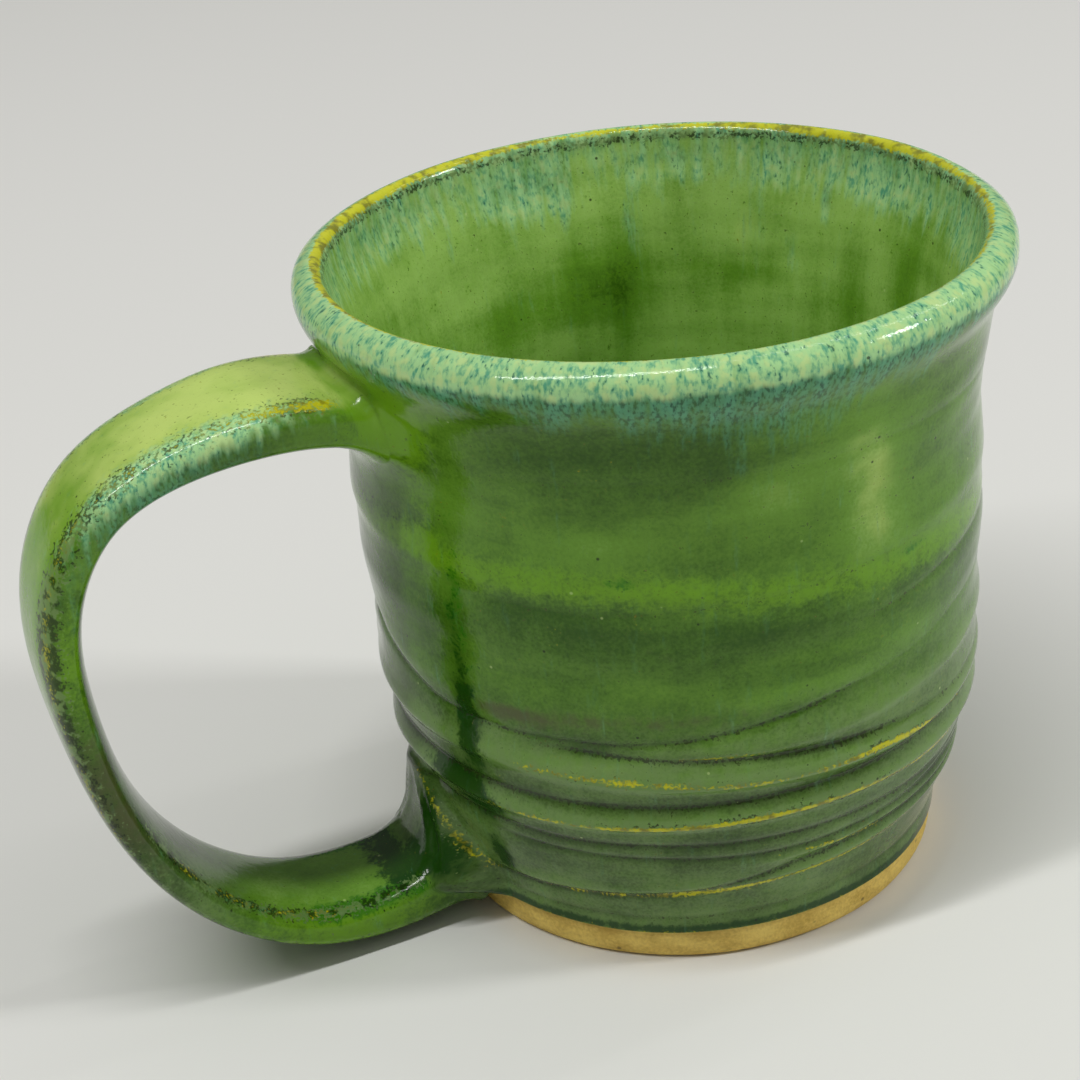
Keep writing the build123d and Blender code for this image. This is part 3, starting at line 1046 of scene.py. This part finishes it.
glaze = glaze_material()
bare_clay = clay_material()
for piece, node, slot, finish in (
    (clay_body, "clay_body", "body_clay", bare_clay),
    (strap_core, "handle_strap", "handle_clay", bare_clay),
    (upper_collar, "upper_joint_slip", "joint_slip", bare_clay),
    (lower_collar, "lower_joint_slip", "joint_slip", bare_clay),
    (outer_glaze, "outer_glaze", "green_glaze", glaze),
    (rim_glaze, "rim_glaze", "mint_glaze", glaze),
    (liner_glaze, "liner_glaze", "liner_glaze", glaze),
    (handle_glaze, "handle_glaze", "handle_glaze", glaze),
):
    piece.data.materials.append(finish)
    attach(piece, "root")
    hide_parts(node)


# ------ stage, light and camera

# Angles in degrees, distance from the axis and height in parts, and the lens in millimetres
CAMERA_AZIMUTH = -24.3
CAMERA_DISTANCE = 310.3
CAMERA_HEIGHT = 212.5
CAMERA_DOWN = 27.41
CAMERA_YAW = -3.67
CAMERA_ROLL = -5.49
CAMERA_LENS = 76.67
# In metres
FLOOR_REACH = 1.6
LIGHT_DISTANCE = 2.0


def add_camera():
    """A camera at the picture's viewing angle."""
    lens = bpy.data.cameras.new("camera")
    lens.lens = CAMERA_LENS
    lens.sensor_width = 36
    lens.clip_start = 0.01
    camera = add_object("camera", lens)
    side = math.radians(CAMERA_AZIMUTH)
    out = CAMERA_DISTANCE * PART
    place = Vector((out * math.sin(side), -out * math.cos(side), CAMERA_HEIGHT * PART))
    heading = Matrix.Rotation(side - math.radians(CAMERA_YAW), 4, "Z")
    tilt = Matrix.Rotation(math.radians(90 - CAMERA_DOWN), 4, "X")
    roll = Matrix.Rotation(math.radians(CAMERA_ROLL), 4, "Z")
    camera.matrix_world = Matrix.Translation(place) @ heading @ tilt @ roll
    bpy.context.scene.camera = camera


def add_floor():
    """A plain, flat, pale floor."""
    mesh = bpy.data.meshes.new("floor")
    corners = [(x * FLOOR_REACH, y * FLOOR_REACH, 0) for x, y in ((-1, -1), (1, -1), (1, 1), (-1, 1))]
    mesh.from_pydata(corners, [], [(0, 1, 2, 3)])
    floor = add_object("floor", mesh)
    material = bpy.data.materials.new("floor")
    material.use_nodes = True
    shader = material.node_tree.nodes["Principled BSDF"]
    shader.inputs["Base Color"].default_value = (0.8, 0.8, 0.77, 1)
    shader.inputs["Roughness"].default_value = 0.6
    mesh.materials.append(material)


def add_softbox(name, direction, side, size, power):
    """A soft box that faces the mug from this direction, with its first size along side."""
    light = bpy.data.lights.new(name, "AREA")
    light.shape = "RECTANGLE"
    light.size, light.size_y = size
    light.energy = power
    toward = Vector(direction).normalized()
    across = (Vector(side) - Vector(side).dot(toward) * toward).normalized()
    turn = Matrix((across, toward.cross(across), toward)).transposed().to_4x4()
    place = toward * LIGHT_DISTANCE + Vector((0, 0, MUG_HEIGHT / 2))
    add_object(name, light).matrix_world = Matrix.Translation(place) @ turn


def add_world():
    """Pale light from all round, weaker from near the horizon."""
    world = bpy.data.worlds.new("studio")
    world.use_nodes = True
    tree = world.node_tree
    direction = tree.nodes.new("ShaderNodeTexCoord").outputs["Generated"]
    split = tree.nodes.new("ShaderNodeSeparateXYZ")
    ramp = tree.nodes.new("ShaderNodeMapRange")
    tree.links.new(direction, split.inputs[0])
    tree.links.new(split.outputs["Z"], ramp.inputs["Value"])
    for socket, value in (("From Min", 0.15), ("From Max", 0.85), ("To Min", 0.1), ("To Max", 0.33)):
        ramp.inputs[socket].default_value = value
    background = tree.nodes["Background"]
    background.inputs["Color"].default_value = (1.0, 0.985, 0.95, 1)
    tree.links.new(ramp.outputs["Result"], background.inputs["Strength"])
    bpy.context.scene.world = world


add_camera()
add_floor()
add_softbox("high_softbox", (-0.36, -0.13, 1.0), (1, 0, 0), (1.7, 0.11), 21.5)
add_softbox("right_strip", (0.56, 0.03, 0.85), (1, 0, 0), (1.7, 0.05), 3)
add_softbox("side_softbox", (0.87, -0.49, 0.62), (0, 0, 1), (0.38, 0.22), 13)
add_world()
bpy.context.scene.view_settings.view_transform = "Standard"
